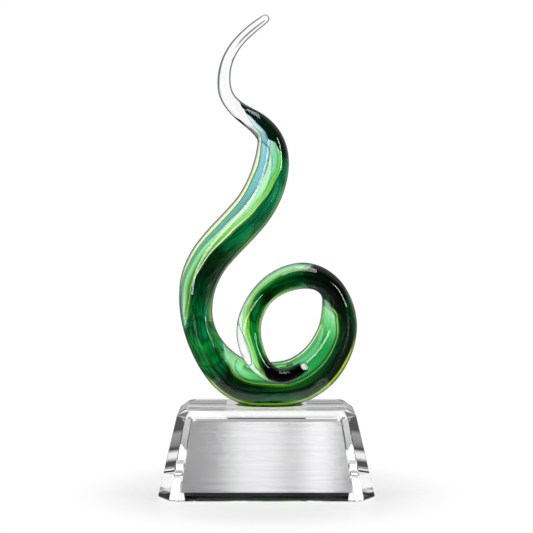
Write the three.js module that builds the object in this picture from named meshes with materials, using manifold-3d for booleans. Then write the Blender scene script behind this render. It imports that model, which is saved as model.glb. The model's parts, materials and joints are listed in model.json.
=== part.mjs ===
// Art glass award: a hand-drawn glass swirl with coloured bands, glued on a faceted crystal base
// that carries a bare brushed plate. Millimetres, +Z up, +Y away from the viewer.
// The origin is at the middle of the base's underside.
import * as THREE from 'three';
import Module from 'manifold-3d';

// Crystal base
const BASE_HEIGHT = 56;
const BASE_BOTTOM_HALF_WIDTH = 68.4;
const BASE_BOTTOM_HALF_DEPTH = 42.5;
const BASE_SHOULDER_HALF_WIDTH = 56.5;
const BASE_SHOULDER_HALF_DEPTH = 34.5;
const BASE_TOP_HALF_WIDTH = 50.8;
const BASE_TOP_HALF_DEPTH = 29;
const BASE_TOP_BEVEL = 4;
const BASE_BOTTOM_BEVEL = 1.5;
// Lengths of the two corner facets, at 30 and 60 degrees to the front
const CORNER_BOTTOM = [6.5, 16];
const CORNER_SHOULDER = [5, 11.2];
const CORNER_TOP = [2.2, 4.4];

// Plate and the film behind it
const PLATE_THICKNESS = 0.6;
const TAPE_THICKNESS = 0.2;
const PLATE_TOP_MARGIN = 2;
const PLATE_BOTTOM_MARGIN = 5.2;
const PLATE_SIDE_MARGIN = 0.6;
const TAPE_INSET = 1.5;

// Glue under the swirl's ground foot
const BOND_THICKNESS = 0.3;
const BOND_FILLET = 2.2;
const BOND_HALF_LENGTH = 22;
const BOND_HALF_DEPTH = 12;

// Swirl: its height above the base, and the height at which the stations below are drawn
const SWIRL_HEIGHT = 249.8;
const DRAWN_HEIGHT = 249.8;
const CLEARANCE = 0.3;
const WALL_RATIO = 0.2;
const WALL_MIN = 0.9;
const RINGS_PER_STATION = 2;
const RING_POINTS = 16;
const LAYER_POINTS = 4;

// Stations of the swirl from its clear tip to its curled tail: x, y, height above the base,
// half thickness across the band, half depth of the band
const STATIONS = [
  [-1, 0, 247, 2.8, 2.9],
  [-9, 0, 241, 3.2, 3.4],
  [-17, 0, 233.5, 3.3, 3.6],
  [-22.5, 0, 226, 3.5, 4],
  [-26.5, 0, 216, 3.8, 4.6],
  [-27, 0, 203, 4.3, 6],
  [-24, 0, 195.5, 4.8, 7],
  [-16.5, 0, 188, 5.6, 8.5],
  [-6.5, 0, 181.5, 6.8, 10],
  [1.5, 0, 173, 7.8, 11.5],
  [3.5, 0, 163, 9.8, 13],
  [3, 0, 154, 11, 14],
  [0, 0, 142, 11.8, 14.5],
  [-8, 0, 126.5, 12, 15],
  [-22, 0, 111, 12, 15],
  [-36, 0, 95.5, 11.8, 15],
  [-43.5, 0, 80.5, 11.4, 15],
  [-45.5, 0, 65, 10.1, 15],
  [-44, 0, 51.5, 9.8, 15],
  [-38.5, 0, 37.5, 10.5, 15],
  [-28.5, 0, 24, 12.5, 15],
  [-15, 0, 14.5, 14.2, 15],
  [2, 0, 13, 14.2, 15],
  [20, -1, 15.5, 15, 15],
  [36, -3, 27.5, 14.5, 14.5],
  [45, -5, 45.5, 12.7, 13.5],
  [46, -7, 60, 10.7, 13],
  [42.5, -9, 74, 8, 12],
  [33.5, -10.5, 82, 7.5, 11.5],
  [21.5, -12, 84, 7.8, 11],
  [7, -13.5, 79.5, 6.8, 10.5],
  [-4.5, -15, 69.5, 5.8, 10],
  [-11.5, -17, 53, 7.6, 9],
  [-9, -19, 36, 7.7, 8],
  [-0.5, -20.5, 24, 5.8, 6.5],
  [11.5, -21.5, 20, 4.2, 5.5],
  [23, -22, 26.5, 3.2, 5],
];
const SWIRL_SCALE = SWIRL_HEIGHT / DRAWN_HEIGHT;
const LAST = STATIONS.length - 1;
const FOOT_STATION = 22;
const COLOUR_START = 6;

// The band's depth axis, and the direction in which the colours lie on each other
const DEPTH_AXIS = new THREE.Vector3(-0.33, 0.87, 0.36).normalize();
const STACK_AXIS = new THREE.Vector3(-0.6, 0.6, 0.5).normalize();

// Colours from the front right to the back left of the band: share of the stack, first and last station
const LAYERS = [
  { name: 'dark_green_core', share: 0.45, from: 6.2, to: LAST, color: 0x0b4a33, roughness: 0.06 },
  { name: 'white_thread', share: 0.08, from: 10.5, to: 19, color: 0xf2f6ee, roughness: 0.08 },
  { name: 'lime_ribbon', share: 0.13, from: 9.5, to: LAST, color: 0x8fdc2f, roughness: 0.06 },
  { name: 'mint_ribbon', share: 0.17, from: 8.5, to: LAST, color: 0x9fe3ba, roughness: 0.06 },
  { name: 'blue_ribbon', share: 0.16, from: 7, to: 20, color: 0x86b9dd, roughness: 0.06 },
  { name: 'yellow_thread', share: 0.09, from: 7.5, to: 20, color: 0xe8e04a, roughness: 0.06 },
];
const FADE = 2;
const STACK_END = 0.94;
const THINNEST = 0.35;

const wasm = await Module();
wasm.setup();

// A closed body from rings of equal point count, each end drawn to a point. The last side of a ring
// is split along the other diagonal, so that neighbouring colours share the diagonals of their faces.
function loft(rings, first, last) {
  const n = rings[0].length;
  const points = [first, ...rings.flat(), last];
  const end = points.length - 1;
  const index = [];
  for (let j = 0; j < n; j += 1) {
    const k = (j + 1) % n;
    index.push(0, 1 + k, 1 + j);
    for (let i = 0; i + 1 < rings.length; i += 1) {
      const a = 1 + i * n;
      const b = a + n;
      if (k === 0) index.push(a + j, a + k, b + j, a + k, b + k, b + j);
      else index.push(a + j, a + k, b + k, a + j, b + k, b + j);
    }
    const e = 1 + (rings.length - 1) * n;
    index.push(end, e + j, e + k);
  }
  return faceOut({ points, index });
}

// Turns the triangles so that they face out
function faceOut({ points, index }) {
  let volume = 0;
  const v = new THREE.Vector3();
  for (let i = 0; i < index.length; i += 3) {
    const [a, b, c] = [points[index[i]], points[index[i + 1]], points[index[i + 2]]];
    volume += v.crossVectors(b, c).dot(a);
  }
  if (volume < 0) index.reverse();
  return { points, index };
}

function toManifold({ points, index }) {
  const vertProperties = new Float32Array(points.flatMap((p) => [p.x, p.y, p.z]));
  const mesh = new wasm.Mesh({ numProp: 3, vertProperties, triVerts: new Uint32Array(index) });
  return new wasm.Manifold(mesh);
}

function fromManifold(manifold) {
  const mesh = manifold.getMesh();
  const geometry = new THREE.BufferGeometry();
  const position = new Float32Array(mesh.numVert * 3);
  for (let i = 0; i < mesh.numVert; i += 1) {
    for (let k = 0; k < 3; k += 1) position[3 * i + k] = mesh.vertProperties[i * mesh.numProp + k];
  }
  geometry.setAttribute('position', new THREE.BufferAttribute(position, 3));
  geometry.setIndex(Array.from(mesh.triVerts));
  return geometry;
}

function toGeometry({ points, index }) {
  const geometry = new THREE.BufferGeometry();
  geometry.setFromPoints(points);
  geometry.setIndex(index);
  return geometry;
}

const group = new THREE.Group();
group.name = 'art_glass_award';

function addPiece(name, geometry, color, roughness, metalness) {
  geometry.computeVertexNormals();
  const material = new THREE.MeshStandardMaterial({ color, roughness, metalness });
  const mesh = new THREE.Mesh(geometry, material);
  mesh.name = name;
  group.add(mesh);
}

function middle(ring) {
  const c = new THREE.Vector3();
  ring.forEach((p) => c.add(p));
  return c.divideScalar(ring.length);
}

// Plan outline of the base: straight front, back and sides with two facets at each corner
function baseRing(halfWidth, halfDepth, [short, long], z) {
  const c30 = Math.cos(Math.PI / 6);
  const s30 = Math.sin(Math.PI / 6);
  const x3 = halfWidth;
  const x2 = x3 - long * s30;
  const x1 = x2 - short * c30;
  const y1 = halfDepth;
  const y2 = y1 - short * s30;
  const y3 = y2 - long * c30;
  const quarter = [[x3, y3], [x2, y2], [x1, y1]];
  const right = [...quarter.map(([x, y]) => [x, -y]).reverse(), ...quarter];
  const left = right.map(([x, y]) => [-x, -y]);
  return [...right, ...left].map(([x, y]) => new THREE.Vector3(x, y, z));
}

const shoulderZ = BASE_HEIGHT - BASE_TOP_BEVEL;
const bottomCut = BASE_BOTTOM_BEVEL * Math.tan(Math.PI / 12) * 2;
const baseRings = [
  baseRing(
    BASE_BOTTOM_HALF_WIDTH - BASE_BOTTOM_BEVEL,
    BASE_BOTTOM_HALF_DEPTH - BASE_BOTTOM_BEVEL,
    CORNER_BOTTOM.map((length) => length - bottomCut),
    0,
  ),
  baseRing(BASE_BOTTOM_HALF_WIDTH, BASE_BOTTOM_HALF_DEPTH, CORNER_BOTTOM, BASE_BOTTOM_BEVEL),
  baseRing(BASE_SHOULDER_HALF_WIDTH, BASE_SHOULDER_HALF_DEPTH, CORNER_SHOULDER, shoulderZ),
  baseRing(BASE_TOP_HALF_WIDTH, BASE_TOP_HALF_DEPTH, CORNER_TOP, BASE_HEIGHT),
];
const base = loft(baseRings, middle(baseRings[0]), middle(baseRings[3]));
addPiece('crystal_base', toGeometry(base), 0xf3f8f8, 0.02, 0);

// Front face of the base: from its lower right corner up the slope
const lowCorner = baseRings[1][0];
const highCorner = baseRings[2][0];
const upSlope = highCorner.clone().sub(lowCorner).setX(0);
const slopeLength = upSlope.length();
upSlope.normalize();
const outward = new THREE.Vector3(1, 0, 0).cross(upSlope);

// A flat trapezoid on the front face, inset from the plate's outline, between two distances off the face
function frontSheet(inset, near, far) {
  const halfWidth = (s) => THREE.MathUtils.lerp(lowCorner.x, highCorner.x, s / slopeLength);
  const s0 = PLATE_BOTTOM_MARGIN + inset;
  const s1 = slopeLength - PLATE_TOP_MARGIN - inset;
  const w0 = halfWidth(s0) - PLATE_SIDE_MARGIN - inset;
  const w1 = halfWidth(s1) - PLATE_SIDE_MARGIN - inset;
  const corner = (x, s, off) => lowCorner.clone()
    .addScaledVector(upSlope, s)
    .addScaledVector(outward, off)
    .setX(x);
  const ring = (off) => [[-w0, s0], [w0, s0], [w1, s1], [-w1, s1]].map(([x, s]) => corner(x, s, off));
  const rings = [ring(near), ring(far)];
  return loft(rings, middle(rings[0]), middle(rings[1]));
}

const tape = frontSheet(TAPE_INSET, 0, TAPE_THICKNESS);
addPiece('plate_tape', toGeometry(tape), 0x8d9092, 0.7, 0);
const plate = frontSheet(0, TAPE_THICKNESS, TAPE_THICKNESS + PLATE_THICKNESS);
addPiece('engraving_plate', toGeometry(plate), 0xc6c7c8, 0.36, 1);

// Middle line of the swirl
const curve = new THREE.CatmullRomCurve3(
  STATIONS.map(([x, y, z]) => new THREE.Vector3(x, y, z).multiplyScalar(SWIRL_SCALE).setZ(
    BASE_HEIGHT + z * SWIRL_SCALE,
  )),
  false,
  'centripetal',
);

// Centre, axes and half sizes of the band at a station, which may lie between two of the table
function section(station) {
  const t = station / LAST;
  const i = Math.min(Math.floor(station), LAST - 1);
  const mix = (k) => THREE.MathUtils.lerp(STATIONS[i][k], STATIONS[i + 1][k], station - i) * SWIRL_SCALE;
  const centre = curve.getPoint(t);
  const tangent = curve.getTangent(t);
  const depth = DEPTH_AXIS.clone().addScaledVector(tangent, -DEPTH_AXIS.dot(tangent)).normalize();
  const across = tangent.clone().cross(depth);
  return { centre, tangent, depth, across, a: mix(3), b: mix(4) };
}

function wall(s) {
  return Math.max(WALL_MIN, WALL_RATIO * s.a);
}

function bandPoint(s, u, v, inset) {
  return s.centre.clone()
    .addScaledVector(s.across, u * (s.a - inset))
    .addScaledVector(s.depth, v * (s.b - inset));
}

function bandRing(s, inset) {
  return Array.from({ length: RING_POINTS }, (_, j) => {
    const angle = (2 * Math.PI * j) / RING_POINTS;
    return bandPoint(s, Math.cos(angle), Math.sin(angle), inset);
  });
}

function stationsBetween(from, to) {
  const count = Math.round((to - from) * RINGS_PER_STATION);
  return Array.from({ length: count + 1 }, (_, i) => from + (to - from) * (i / count));
}

// Outer skin of the swirl, grown by a distance, with a rounded tip
function skin(grow) {
  const tip = section(0);
  const nose = [0.35, 0.75].map((f) => {
    const size = Math.sqrt(1 - (1 - f) ** 2);
    const ring = bandRing({ ...tip, a: (tip.a + grow) * size, b: (tip.b + grow) * size }, 0);
    return ring.map((p) => p.addScaledVector(tip.tangent, -(1 - f) * (tip.a + grow)));
  });
  const body = stationsBetween(0, LAST).map((t) => bandRing(section(t), -grow));
  const point = tip.centre.clone().addScaledVector(tip.tangent, -(tip.a + grow));
  return { rings: [...nose, ...body], point };
}

// Clear casing: the skin with a channel for the colours that starts as a point and opens at the tail
const outer = skin(0);
const channel = stationsBetween(COLOUR_START + 0.5, LAST).map((t) => {
  const s = section(t);
  return bandRing(s, wall(s));
});
const channelPoint = section(COLOUR_START).centre;
const hollow = loft([...outer.rings, ...channel.reverse()], outer.point, channelPoint);

// The foot is ground flat where the swirl sits on the glue
const foot = section(FOOT_STATION).centre;
const footZ = BASE_HEIGHT + BOND_THICKNESS;

function block(halfX, halfY, z0, z1) {
  const ring = (z) => [[-1, -1], [1, -1], [1, 1], [-1, 1]]
    .map(([x, y]) => new THREE.Vector3(foot.x + x * halfX, foot.y + y * halfY, z));
  const rings = [ring(z0), ring(z1)];
  return toManifold(loft(rings, middle(rings[0]), middle(rings[1])));
}

const reach = 4 * BOND_HALF_LENGTH;
const ground = toManifold(hollow).subtract(block(reach, reach, footZ - reach, footZ));
addPiece('clear_casing', fromManifold(ground), 0xf1f8f5, 0.03, 0);

// Glue: a thin oval pad that rises round the foot as a hollow fillet
const BOND_STEPS = [[1, 0], [0.99, 0.12], [0.93, 0.3], [0.88, 0.6], [0.85, 1]];
const bondRings = BOND_STEPS.map(([size, rise]) => Array.from({ length: 32 }, (_, j) => {
  const angle = (2 * Math.PI * j) / 32;
  return new THREE.Vector3(
    foot.x + BOND_HALF_LENGTH * size * Math.cos(angle),
    foot.y + BOND_HALF_DEPTH * size * Math.sin(angle),
    BASE_HEIGHT + BOND_FILLET * rise,
  );
}));
const puddle = toManifold(loft(bondRings, middle(bondRings[0]), middle(bondRings.at(-1))));
const grown = skin(CLEARANCE);
const grownSkin = toManifold(loft(grown.rings, grown.point, section(LAST).centre));
const above = grownSkin.intersect(block(reach, reach, footZ, footZ + reach));
addPiece('foot_bond', fromManifold(puddle.subtract(above)), 0xeef5f2, 0.05, 0);

// How much of the stack a colour takes at a station, drawn out thin at both ends
function shareAt(layer, station) {
  const rise = THREE.MathUtils.smoothstep(station, layer.from, layer.from + FADE);
  const fall = layer.to >= LAST ? 1 : 1 - THREE.MathUtils.smoothstep(station, layer.to - FADE, layer.to);
  return layer.share * rise * fall;
}

// Limits of a colour in the stack at a station, from -1 at the front to 1 at the back
function limits(number, station) {
  const shares = LAYERS.map((layer) => shareAt(layer, station));
  const total = shares.reduce((sum, share) => sum + share, 0);
  const before = shares.slice(0, number).reduce((sum, share) => sum + share, 0);
  const scale = (2 * STACK_END) / total;
  return [before * scale - STACK_END, (before + shares[number]) * scale - STACK_END];
}

// Outline of a colour at a station, or null where it is thinner than a thread can be
function layerRing(number, station) {
  const s = section(station);
  const inset = wall(s) + CLEARANCE;
  const a = s.a - inset;
  const b = s.b - inset;
  const nu = a * STACK_AXIS.dot(s.across);
  const nv = b * STACK_AXIS.dot(s.depth);
  const norm = Math.hypot(nu, nv);
  const thickness = norm / Math.sqrt(1 - STACK_AXIS.dot(s.tangent) ** 2);
  const margin = CLEARANCE / 2 / thickness;
  const [low, high] = limits(number, station);
  const q0 = low + margin;
  const q1 = high - margin;
  if (q1 - q0 < THINNEST / thickness) return null;
  return Array.from({ length: 2 * LAYER_POINTS }, (_, j) => {
    const side = j < LAYER_POINTS ? 1 : -1;
    const k = j < LAYER_POINTS ? j : 2 * LAYER_POINTS - 1 - j;
    const q = q0 + (q1 - q0) * (k / (LAYER_POINTS - 1));
    const p = side * Math.sqrt(1 - q * q);
    return bandPoint(s, (q * nu - p * nv) / norm, (q * nv + p * nu) / norm, inset);
  });
}
LAYERS.forEach((layer, number) => {
  const rings = stationsBetween(COLOUR_START + 0.5, LAST)
    .map((t) => layerRing(number, t))
    .filter((ring) => ring !== null);
  const body = loft(rings, middle(rings[0]), middle(rings.at(-1)));
  addPiece(layer.name, toGeometry(body), layer.color, layer.roughness, 0);
});

export default group;
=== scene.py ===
import json
import math

import bmesh
import bpy
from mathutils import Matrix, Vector


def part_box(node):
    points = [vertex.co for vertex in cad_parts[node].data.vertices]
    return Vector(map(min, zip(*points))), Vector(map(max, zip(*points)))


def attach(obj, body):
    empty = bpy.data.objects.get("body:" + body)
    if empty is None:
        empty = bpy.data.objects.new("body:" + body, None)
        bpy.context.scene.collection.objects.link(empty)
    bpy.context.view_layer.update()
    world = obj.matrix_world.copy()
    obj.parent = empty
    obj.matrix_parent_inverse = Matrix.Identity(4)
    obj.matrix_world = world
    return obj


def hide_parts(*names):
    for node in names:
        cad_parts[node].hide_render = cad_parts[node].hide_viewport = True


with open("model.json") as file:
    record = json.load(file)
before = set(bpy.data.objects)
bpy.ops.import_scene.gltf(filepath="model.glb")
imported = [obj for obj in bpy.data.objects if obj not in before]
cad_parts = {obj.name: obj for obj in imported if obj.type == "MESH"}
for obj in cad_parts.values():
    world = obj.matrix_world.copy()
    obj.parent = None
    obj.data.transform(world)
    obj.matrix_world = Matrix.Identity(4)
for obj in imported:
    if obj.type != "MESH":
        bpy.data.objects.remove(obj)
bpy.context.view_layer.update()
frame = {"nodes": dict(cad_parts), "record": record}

bl_info = {
    "name": "Art glass award",
    "version": (1, 0, 0),
    "blender": (4, 5, 0),
    "location": "View3D > Sidebar > Award",
    "description": "Builds a coloured glass swirl on a faceted crystal base with a brushed plate",
    "category": "Add Mesh",
}

MM = 0.001

# Swirl stations from the clear tip to the curled tail, in millimetres: x, y, height above the base,
# half thickness across the band, half depth of the band
STATIONS = [
    (-1, 0, 247, 2.8, 2.9),
    (-9, 0, 241, 3.2, 3.4),
    (-17, 0, 233.5, 3.3, 3.6),
    (-22.5, 0, 226, 3.5, 4),
    (-26.5, 0, 216, 3.8, 4.6),
    (-27, 0, 203, 4.3, 6),
    (-24, 0, 195.5, 4.8, 7),
    (-16.5, 0, 188, 5.6, 8.5),
    (-6.5, 0, 181.5, 6.8, 10),
    (1.5, 0, 173, 7.8, 11.5),
    (3.5, 0, 163, 9.8, 13),
    (3, 0, 154, 11, 14),
    (0, 0, 142, 11.8, 14.5),
    (-8, 0, 126.5, 12, 15),
    (-22, 0, 111, 12, 15),
    (-36, 0, 95.5, 11.8, 15),
    (-43.5, 0, 80.5, 11.4, 15),
    (-45.5, 0, 65, 10.1, 15),
    (-44, 0, 51.5, 9.8, 15),
    (-38.5, 0, 37.5, 10.5, 15),
    (-28.5, 0, 24, 12.5, 15),
    (-15, 0, 14.5, 14.2, 15),
    (2, 0, 13, 14.2, 15),
    (20, -1, 15.5, 15, 15),
    (36, -3, 27.5, 14.5, 14.5),
    (45, -5, 45.5, 12.7, 13.5),
    (46, -7, 60, 10.7, 13),
    (42.5, -9, 74, 8, 12),
    (33.5, -10.5, 82, 7.5, 11.5),
    (21.5, -12, 84, 7.8, 11),
    (7, -13.5, 79.5, 6.8, 10.5),
    (-4.5, -15, 69.5, 5.8, 10),
    (-11.5, -17, 53, 7.6, 9),
    (-9, -19, 36, 7.7, 8),
    (-0.5, -20.5, 24, 5.8, 6.5),
    (11.5, -21.5, 20, 4.2, 5.5),
    (23, -22, 26.5, 3.2, 5),
]
LAST = len(STATIONS) - 1

# The way in which the band is deep, before it is squared to the path
DEPTH_AXIS = Vector((-0.33, 0.87, 0.36)).normalized()
BACKWARDS = Vector((0, 1, 0))

# Coloured glasses in their order across the band, from its dark side to the other
LAYERS = ["dark_green_core", "white_thread", "lime_ribbon", "mint_ribbon", "blue_ribbon", "yellow_thread"]

# Stations between which each coloured glass runs
LAYER_SPANS = {
    "dark_green_core": [(6.2, LAST - 0.085)],
    "white_thread": [(10.5, 17.5)],
    "lime_ribbon": [(9.7, 18.2), (19.1, 27.0), (28.3, LAST - 0.35)],
    "mint_ribbon": [(9.3, 18.3), (19.0, 27.1), (28.2, LAST - 0.35)],
    "blue_ribbon": [(7.2, 18.4)],
    "yellow_thread": [(7.6, 18.4)],
}

# Stretch of the yellow thread that lies outside the dark glass, above the foot, and its outer place
OUTER_THREAD = (19.4, 25.2)
OUTER_THREAD_START = -0.95

# Stations between which the dark glass is outside and the colours are inside, and not the other way round
TURNED = (18.7, 27.6)

# Where the first colour begins across the band, by station: more is left clear at the start and at the foot
LAYER_START = [
    (6.0, -0.8), (6.5, -0.8), (7.0, -0.86), (8.05, -0.96), (19.3, -0.96),
    (20.2, -0.8), (24.2, -0.8), (25.4, -0.94), (LAST, -0.94),
]

# Where each colour ends across the band, from -1 on the dark side to 1 on the other, by station
LAYER_ENDS = [
    (6.0, -0.78, -0.78, -0.78, -0.78, -0.77, -0.76),
    (6.5, -0.76, -0.76, -0.76, -0.76, -0.7, -0.68),
    (7.0, -0.45, -0.45, -0.45, -0.45, 0.0, 0.02),
    (7.4, -0.1, -0.1, -0.1, -0.1, 0.25, 0.3),
    (8.2, 0.12, 0.12, 0.12, 0.12, 0.57, 0.64),
    (9.2, 0.2, 0.2, 0.2, 0.21, 0.72, 0.83),
    (9.6, -0.32, -0.32, -0.31, 0.2, 0.77, 0.87),
    (10.3, -0.6, -0.595, -0.4, 0.21, 0.77, 0.87),
    (11.0, -0.6, -0.595, -0.4, 0.23, 0.76, 0.86),
    (12.0, -0.33, -0.32, -0.14, 0.35, 0.83, 0.92),
    (13.0, -0.1, -0.06, 0.05, 0.5, 0.82, 0.91),
    (14.0, 0.02, 0.1, 0.24, 0.55, 0.8, 0.9),
    (15.3, 0.1, 0.14, 0.4, 0.65, 0.82, 0.91),
    (16.5, 0.3, 0.32, 0.5, 0.8, 0.9, 0.94),
    (17.6, 0.54, 0.55, 0.6, 0.86, 0.91, 0.945),
    (18.3, 0.93, 0.931, 0.935, 0.94, 0.945, 0.95),
    (18.9, 0.93, 0.931, 0.935, 0.94, 0.945, 0.95),
    (19.3, 0.8, 0.801, 0.82, 0.92, 0.925, 0.93),
    (19.9, 0.45, 0.451, 0.5, 0.96, 0.965, 0.97),
    (20.6, 0.2, 0.201, 0.23, 0.96, 0.965, 0.97),
    (23.0, 0.05, 0.051, 0.08, 0.96, 0.965, 0.97),
    (25.0, 0.0, 0.001, 0.03, 0.96, 0.965, 0.97),
    (26.0, 0.12, 0.121, 0.2, 0.96, 0.965, 0.97),
    (26.6, 0.5, 0.501, 0.56, 0.92, 0.925, 0.93),
    (27.0, 0.9, 0.901, 0.91, 0.94, 0.945, 0.95),
    (27.4, 0.93, 0.931, 0.935, 0.94, 0.945, 0.95),
    (28.0, 0.93, 0.931, 0.935, 0.94, 0.945, 0.95),
    (28.3, 0.88, 0.881, 0.89, 0.93, 0.935, 0.94),
    (28.8, 0.55, 0.551, 0.6, 0.92, 0.925, 0.93),
    (30.3, 0.5, 0.501, 0.56, 0.92, 0.925, 0.93),
    (31.0, 0.62, 0.621, 0.7, 0.92, 0.925, 0.93),
    (31.5, 0.35, 0.351, 0.5, 0.85, 0.855, 0.86),
    (32.0, -0.05, -0.049, 0.14, 0.5, 0.505, 0.51),
    (33.0, -0.25, -0.249, -0.08, 0.3, 0.305, 0.31),
    (33.8, 0.0, 0.001, 0.16, 0.45, 0.455, 0.46),
    (34.5, 0.75, 0.751, 0.82, 0.9, 0.905, 0.91),
    (LAST, 0.93, 0.931, 0.94, 0.95, 0.955, 0.96),
]

# Colours that lie near the front alone, and their middle and half size from the back, -1, to the front, 1
THREADS = ("white_thread", "yellow_thread")
THREAD_MIDDLE, THREAD_HALF = 0.8, 0.18

# How much the colours draw together towards the back of the band, and how far they lean there, by station
LAYER_FANS = [
    (6.0, 0.0, 0.0),
    (6.2, 0.0, 0.0),
    (6.9, 0.75, 0.35),
    (17.5, 0.75, 0.35),
    (18.3, 0.0, 0.0),
    (19.3, 0.0, 0.0),
    (20.2, 0.67, 0.15),
    (26.0, 0.67, 0.2),
    (26.8, 0.0, 0.0),
    (28.2, 0.0, 0.0),
    (28.8, 0.7, 0.5),
    (31.0, 0.7, 0.5),
    (32.0, 0.5, 0.2),
    (34.0, 0.3, 0.0),
    (LAST, 0.0, 0.0),
]

# Past this place across the band the first colour's edge keeps its place to the back
UNFANNED = 0.75

# Clear wall over the colours at its thinnest and its growth at the tail, the gap between two colours, and the
# thinnest colour
LEAST_WALL = 0.0007
TAIL_WALL_GROWTH = 0.3
LAYER_GAP = 0.00004
LEAST_LAYER = 0.00012

# Painted highlight: a milky bead stands for the bright reflection on the tail's end
# The bead in the tail's clear end: its radius, and its place ahead of the last station and to the front
SPOT_RADIUS = 0.0019
SPOT_AHEAD = 0.0008
SPOT_FORWARD = 0.0015
SPOT_RINGS = 12
SPOT_POINTS = 24

# Rings of the swirl's rounded ends: size, and place beyond the end as a share of the half thickness
TIP_CAP = ((0, 1.0), (0.45, 0.97), (0.85, 0.6))
TAIL_CAP = ((0.86, 0.5), (0.5, 0.85), (0, 0.95))

# The ground foot stands this far above the base
FOOT_GAP = 0.0003

# Faces that meet at less than this angle are shaded as one surface, and points this close are merged
SMOOTH_ANGLE = math.radians(40)
MERGED = 1e-7

# Levels of the base: shares of its half width and half depth, and short and long corner facet in millimetres
BASE_FLOOR = (0.9781, 0.9647, 5.696, 15.196)
BASE_FOOT = (1.0, 1.0, 6.5, 16.0)
BASE_SHOULDER = (0.826, 0.8118, 5.0, 11.2)
BASE_TOP = (0.7427, 0.6824, 2.2, 4.4)

# Heights of the base's bevels at the floor and at the top, and how far its facets turn from its sides
FLOOR_BEVEL = 0.0015
TOP_BEVEL = 0.004
FACET_TURN = math.radians(30)

# Points of the plate this near to an end are at it, edges shorter than the next run through it, and its
# front faces turn forwards by more than the last
SAME_PLACE = 0.0005
PLATE_THROUGH = 0.001
PLATE_FRONT = -0.9

# Steps of the glue's rounded edge, as rise and size, its points around, the width of its lip, and how deep
# the foot sinks in it
BOND_STEPS = ((0.00018, 0.985), (0.00028, 0.955), (0.0004, 0.96))
BOND_POINTS = 64
BOND_LIP = 0.002
BOND_SINK = 0.00058


# Path and section of the swirl

def along_curve(points, place):
    """A point on the smooth centripetal curve through the points, at a place counted in points."""
    number = min(int(place), len(points) - 2)
    first = points[number - 1] if number else 2 * points[0] - points[1]
    last = points[number + 2] if number + 2 < len(points) else 2 * points[-1] - points[-2]
    p = [first, points[number], points[number + 1], last]
    t = [0.0]
    for k in range(3):
        t.append(t[-1] + (p[k + 1] - p[k]).length ** 0.5)
    at = t[1] + (t[2] - t[1]) * (place - number)

    def mix(a, b, ta, tb):
        return a * ((tb - at) / (tb - ta)) + b * ((at - ta) / (tb - ta))

    a1, a2, a3 = (mix(p[k], p[k + 1], t[k], t[k + 1]) for k in range(3))
    b1, b2 = mix(a1, a2, t[0], t[2]), mix(a2, a3, t[1], t[3])
    return mix(b1, b2, t[1], t[2])


def base_top():
    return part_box("crystal_base")[1][2]


def middle_line():
    return [Vector((x * MM, y * MM, base_top() + z * MM)) for x, y, z, _, _ in STATIONS]


class Section:
    """The band at one station: centre, axes across and in depth, and its two half sizes."""

    # Stations to either side between which the path's direction is taken
    STEP = 0.02

    def __init__(self, line, station):
        low, high = max(0, station - self.STEP), min(LAST, station + self.STEP)
        self.centre = along_curve(line, station)
        self.tangent = (along_curve(line, high) - along_curve(line, low)).normalized()
        along = self.tangent
        self.depth = (DEPTH_AXIS - along * DEPTH_AXIS.dot(along)).normalized()
        self.across = along.cross(self.depth)
        # The count in the third place keeps equal sizes apart on their curve
        sizes = [Vector((a, b, k)) * MM for k, (_, _, _, a, b) in enumerate(STATIONS)]
        size = along_curve(sizes, station)
        self.a, self.b = size.x, size.y

    def point(self, u, v, inset=0.0):
        return self.centre + self.across * (u * (self.a - inset)) + self.depth * (v * (self.b - inset))


def stations(first, last, per_station):
    count = max(2, round((last - first) * per_station))
    return [first + (last - first) * k / count for k in range(count + 1)]


# Mesh tools

def deselect():
    if bpy.context.mode != "OBJECT":
        bpy.ops.object.mode_set(mode="OBJECT")
    bpy.ops.object.select_all(action="DESELECT")


def rolled_tube(name, rings, marks=None, places=None, inner=()):
    """A grid rolled up so that each of its rows is one ring, with its seam and end points merged.

    Marks are the texture coordinates round a ring, and places those along the rings, which are 1 more on the
    inner columns of faces.
    """
    deselect()
    around = len(rings[0])
    bpy.ops.mesh.primitive_grid_add(x_subdivisions=around, y_subdivisions=len(rings) - 1, size=1)
    piece = bpy.context.object
    piece.name = piece.data.name = name
    corners = [p for ring in rings for p in [*ring, ring[0]]]
    piece.data.vertices.foreach_set("co", [value for p in corners for value in p])
    if marks:
        loops, uv = piece.data.loops, piece.data.uv_layers.active.uv
        for face in piece.data.polygons:
            spots = [divmod(loops[k].vertex_index, around + 1) for k in face.loop_indices]
            raised = 1 if min(column for _, column in spots) in inner else 0
            for k, (row, column) in zip(face.loop_indices, spots):
                uv[k].vector = marks[column % around], places[row] + raised
    bpy.ops.object.mode_set(mode="EDIT")
    bpy.ops.mesh.select_all(action="SELECT")
    bpy.ops.mesh.remove_doubles(threshold=MERGED)
    bpy.ops.mesh.normals_make_consistent(inside=False)
    bpy.ops.object.mode_set(mode="OBJECT")
    return piece


def face_outwards():
    bpy.ops.mesh.select_all(action="SELECT")
    bpy.ops.mesh.normals_make_consistent(inside=False)


def smooth_by_subdivision(piece, levels):
    subdivision = piece.modifiers.new("smooth", "SUBSURF")
    subdivision.levels = subdivision.render_levels = levels
    bpy.context.view_layer.objects.active = piece
    bpy.ops.object.modifier_apply(modifier=subdivision.name)
    bpy.ops.object.shade_smooth()


def settle(piece, material, slot, *nodes):
    """Applies the piece's place, gives it its finish and lets it stand for its nodes."""
    deselect()
    piece.select_set(True)
    bpy.context.view_layer.objects.active = piece
    bpy.ops.object.transform_apply(location=True, rotation=True, scale=True)
    piece.data.materials.clear()
    piece.data.materials.append(material)
    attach(piece, "root")
    if nodes:
        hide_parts(*nodes)


# Materials

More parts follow.
